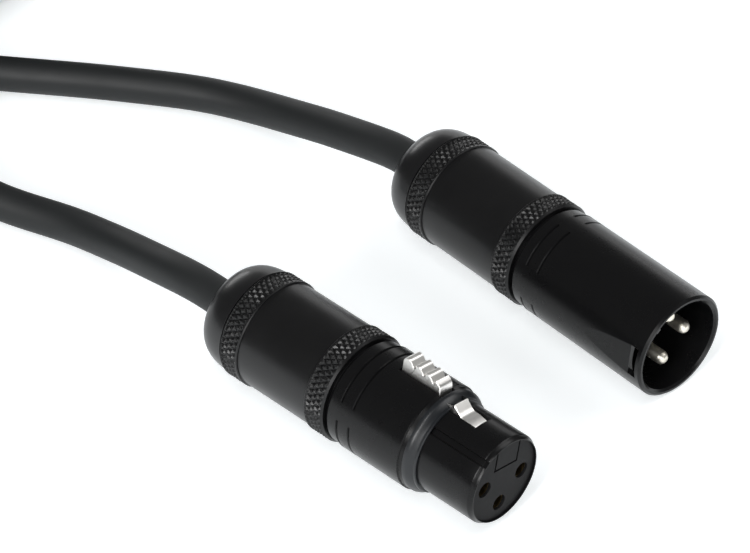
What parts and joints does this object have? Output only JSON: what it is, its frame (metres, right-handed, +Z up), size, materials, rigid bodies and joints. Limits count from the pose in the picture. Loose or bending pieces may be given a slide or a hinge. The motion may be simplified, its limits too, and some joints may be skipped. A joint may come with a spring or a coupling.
{
  "type": "xlr cable coil",
  "caption": "Balanced microphone cable with a round latching socket, a pin plug, and the spare length in a tied coil on the floor.",
  "frame": {"origin": "on the floor, at the middle of the box of the two connectors without their cable", "axes": "+Z up; -Y is the way the plug's mouth faces; +X runs from the socket to the plug; the coil lies behind them at +Y"},
  "size_m": [0.097, 0.2529, 0.0304],
  "materials": {
    "shell_black": "black satin chrome-like lacquer on die-cast metal",
    "barrel_black": "black satin anodised metal with diamond grip bands",
    "boot_black": "black moulded boot, satin",
    "insert_plastic": "black glass-filled plastic",
    "seal_rubber": "dark blue-grey rubber",
    "pin_metal": "silver plated contact pin",
    "contact_metal": "gold plated socket contact",
    "clip_metal": "sprung bronze, tinned",
    "latch_nickel": "satin nickel",
    "spring_steel": "spring steel",
    "wire_insulation": "coloured core insulation",
    "clamp_plastic": "dark grey nylon",
    "cable_jacket": "dark grey satin cable jacket",
    "strap_fabric": "black hook-and-loop strap"
  },
  "bodies": {
    "root": {"male_shell": "shell_black", "male_insert": "insert_plastic", "male_pin_1": "pin_metal", "male_pin_2": "pin_metal", "male_pin_3": "pin_metal", "male_ground_clip": "clip_metal", "male_wires": "wire_insulation", "male_chuck": "clamp_plastic", "female_shell": "shell_black", "shoulder_seal": "seal_rubber", "female_insert": "insert_plastic", "female_contact_1": "contact_metal", "female_contact_2": "contact_metal", "female_contact_3": "contact_metal", "latch_pin": "spring_steel", "female_ground_clip": "clip_metal", "female_wires": "wire_insulation", "female_chuck": "clamp_plastic", "cable_male_run": "cable_jacket", "cable_coil": "cable_jacket", "cable_female_run": "cable_jacket", "coil_tie": "strap_fabric"},
    "latch": {"female_latch": "latch_nickel", "latch_spring": "spring_steel"},
    "male_boot_body": {"male_boot": "boot_black"},
    "male_barrel_body": {"male_barrel": "barrel_black"},
    "female_boot_body": {"female_boot": "boot_black"},
    "female_barrel_body": {"female_barrel": "barrel_black"}
  },
  "joints": [
    {"name": "latch_press", "type": "hinge", "parent": "root", "child": "latch", "pos_m": [-0.02048, -0.00679, 0.01559], "axis": [0.9789, 0.0736, -0.1908], "range_deg": [0, 4.3], "stiffness_Nm_per_rad": 0.25, "springref_deg": -5.73},
    {"name": "male_boot_slide", "type": "slide", "parent": "root", "child": "male_boot_body", "axis": [0, 1, 0], "range_m": [0, 0.003]},
    {"name": "male_barrel_turn", "type": "hinge", "parent": "male_boot_body", "child": "male_barrel_body", "pos_m": [0.0235, 0.013, 0.0098], "axis": [0, 1, 0], "range_deg": [0, 1080]},
    {"name": "female_boot_slide", "type": "slide", "parent": "root", "child": "female_boot_body", "axis": [-0.075, 0.9972, 0], "range_m": [0, 0.003]},
    {"name": "female_barrel_turn", "type": "hinge", "parent": "female_boot_body", "child": "female_barrel_body", "pos_m": [-0.02282, 0.00938, 0.0098], "axis": [-0.075, 0.9972, 0], "range_deg": [0, 1080]}
  ],
  "couplings": [
    {"joint": "male_boot_slide", "follows": "male_barrel_turn", "m_per_rad": 0.00015915},
    {"joint": "female_boot_slide", "follows": "female_barrel_turn", "m_per_rad": 0.00015915}
  ]
}
